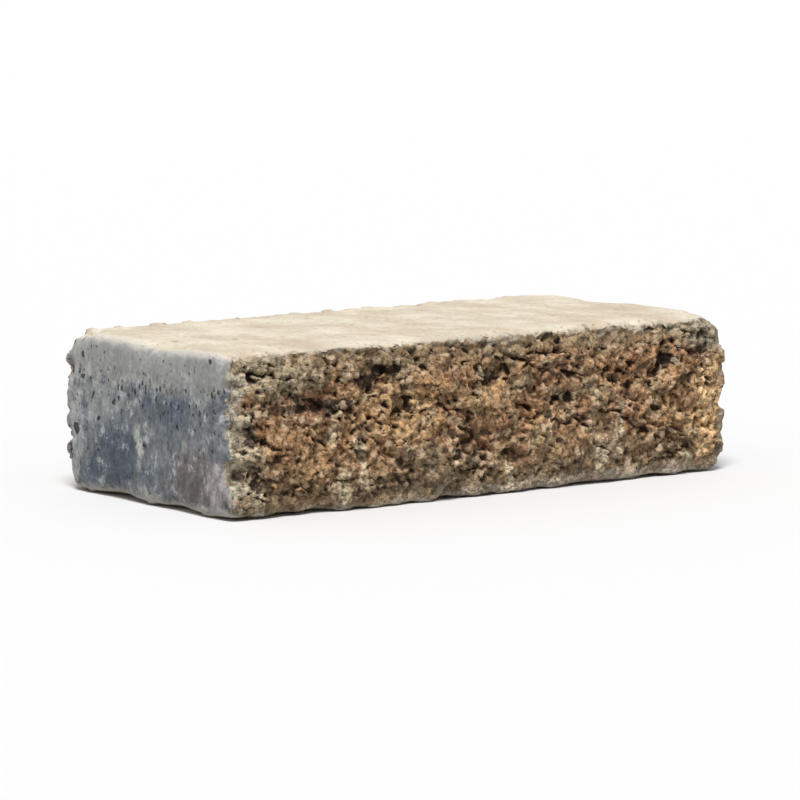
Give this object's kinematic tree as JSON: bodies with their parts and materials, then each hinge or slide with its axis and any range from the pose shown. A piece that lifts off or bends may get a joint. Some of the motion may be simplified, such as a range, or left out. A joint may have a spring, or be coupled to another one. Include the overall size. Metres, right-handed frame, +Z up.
{
  "type": "concrete wall block",
  "caption": "Solid split-face concrete wall block with flat beds and ends, rough split long sides, and edges worn by tumbling, for dry-laid or bonded garden walls.",
  "frame": {"origin": "on the bottom bed, in the middle of the footprint", "axes": "+X along the block's length, -Y out of its front split face, +Z up, from the bottom bed to the top bed"},
  "size_m": [0.3, 0.1562, 0.078],
  "materials": {
    "tumbled_concrete": "matt split and tumbled concrete, brown and ochre with grey shading"
  },
  "bodies": {
    "root": {"wall_block": "tumbled_concrete"}
  },
  "joints": []
}
